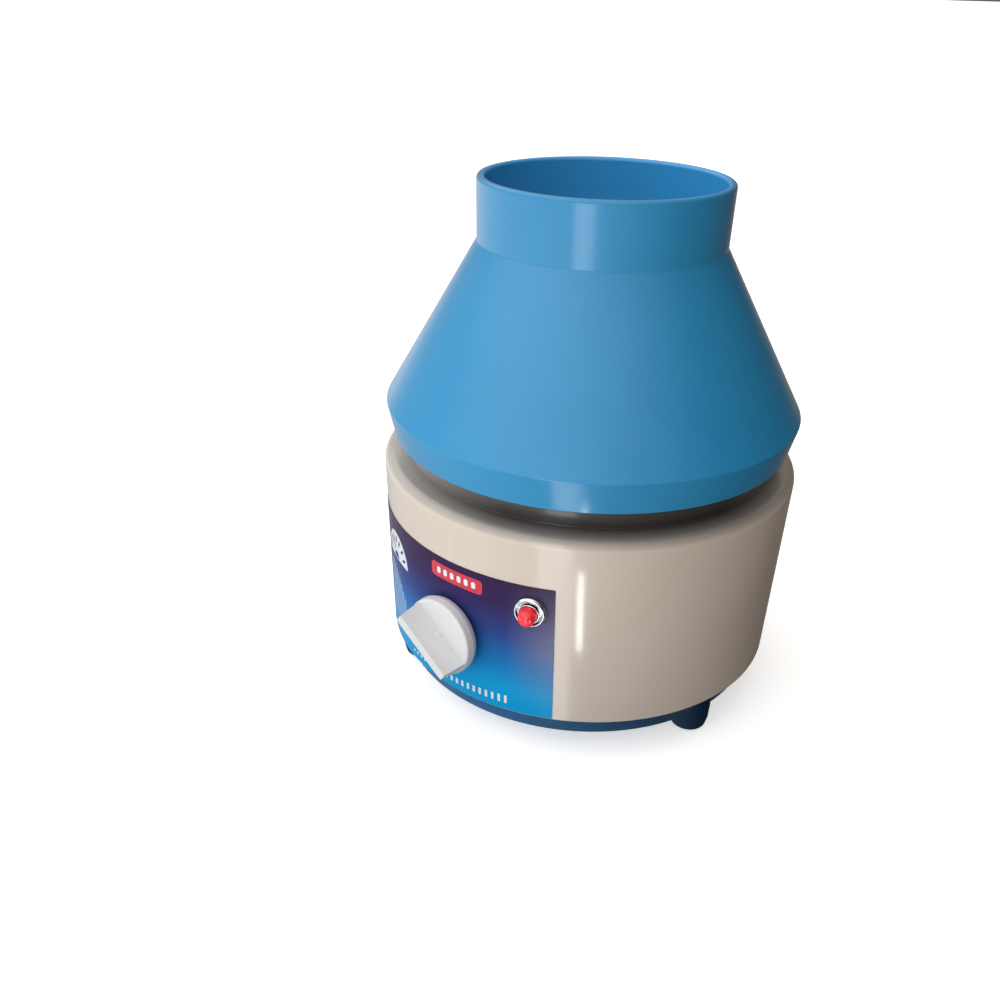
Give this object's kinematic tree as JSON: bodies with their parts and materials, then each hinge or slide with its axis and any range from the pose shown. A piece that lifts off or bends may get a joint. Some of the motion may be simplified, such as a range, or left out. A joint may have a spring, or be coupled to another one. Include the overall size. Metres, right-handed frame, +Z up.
{
  "type": "bench centrifuge",
  "caption": "Small tabletop centrifuge: open-necked conical guard over an angle head, on a round motor housing with a speed knob and pilot lamp.",
  "frame": {"origin": "on the bench surface under the rotor axis, the centre of the bottom of the part's box", "axes": "+Z up along the rotor axis; -Y out of the front of the housing along the knob's axis; +X to the right of the panel"},
  "size_m": [0.2438, 0.2868, 0.3],
  "materials": {
    "guard_blue": "glossy injection-moulded blue plastic",
    "pan_blue": "satin dark blue moulded plastic",
    "ivory": "glossy ivory moulded plastic",
    "label_film": "printed film, purple at the top running to cyan",
    "knob_white": "satin white moulded plastic",
    "chrome": "polished",
    "lens_red": "clear red moulded lens",
    "black_plastic": "satin black moulded plastic",
    "terminal_plastic": "matt pale moulded plastic",
    "steel": "zinc-plated steel",
    "lamination_steel": "varnished electrical steel",
    "aluminium": "cast and machined aluminium",
    "copper": "enamelled copper",
    "rubber": "black rubber",
    "board": "green circuit laminate",
    "carbon": "carbon graphite"
  },
  "bodies": {
    "base": {"base_pan": "pan_blue", "housing": "ivory", "control_label": "label_film", "lamp_bezel": "chrome", "lamp_lens": "lens_red", "lamp_body": "black_plastic", "lamp_nut": "steel", "speed_regulator": "black_plastic", "regulator_nut": "steel", "gland_body": "black_plastic", "gland_cap": "black_plastic", "fuse_holder": "black_plastic", "fuse_holder_nut": "steel", "control_board": "board", "triac_heat_sink": "aluminium", "terminal_block": "terminal_plastic", "motor_plate": "steel", "lower_motor_bell": "aluminium", "upper_motor_bell": "aluminium", "lower_bearing": "steel", "upper_bearing": "steel", "stator_laminations": "lamination_steel", "field_coil_1": "copper", "field_coil_2": "copper", "motor_bolt_1": "steel", "motor_bolt_2": "steel", "brush_holder_1": "black_plastic", "brush_holder_2": "black_plastic", "carbon_brush_1": "carbon", "carbon_brush_2": "carbon", "shaft_seal": "rubber", "foot_1": "pan_blue", "foot_screw_1": "steel", "housing_screw_1": "steel", "motor_mount_1": "rubber", "foot_2": "pan_blue", "foot_screw_2": "steel", "housing_screw_2": "steel", "motor_mount_2": "rubber", "foot_3": "pan_blue", "foot_screw_3": "steel", "housing_screw_3": "steel", "motor_mount_3": "rubber"},
    "guard": {"guard": "guard_blue"},
    "rotor": {"motor_shaft": "steel", "commutator": "copper", "armature": "lamination_steel", "cooling_fan": "black_plastic", "rotor_head": "aluminium", "rotor_nut": "chrome", "tube_shield_1": "aluminium", "tube_shield_2": "aluminium", "tube_shield_3": "aluminium", "tube_shield_4": "aluminium", "tube_shield_5": "aluminium", "tube_shield_6": "aluminium"},
    "knob": {"control_knob": "knob_white", "regulator_spindle": "steel"},
    "fuse_carrier": {"fuse_cartridge": "chrome"},
    "fuse_cap": {"fuse_cap": "black_plastic"}
  },
  "joints": [
    {"name": "guard_lift", "type": "slide", "parent": "base", "child": "guard", "axis": [0, 0, 1], "range_m": [0, 0.12]},
    {"name": "rotor_spin", "type": "hinge", "parent": "base", "child": "rotor", "pos_m": [0, 0, 0.2], "axis": [0, 0, 1], "continuous": true},
    {"name": "knob_turn", "type": "hinge", "parent": "base", "child": "knob", "pos_m": [0, -0.125, 0.0688], "axis": [0, 1, 0], "range_deg": [0, 270]},
    {"name": "fuse_withdraw", "type": "slide", "parent": "base", "child": "fuse_carrier", "axis": [0.5, 0.866, 0], "range_m": [0, 0.032]},
    {"name": "fuse_cap_turn", "type": "hinge", "parent": "fuse_carrier", "child": "fuse_cap", "pos_m": [0.06, 0.10392, 0.052], "axis": [0.5, 0.866, 0], "range_deg": [-60, 0]}
  ]
}
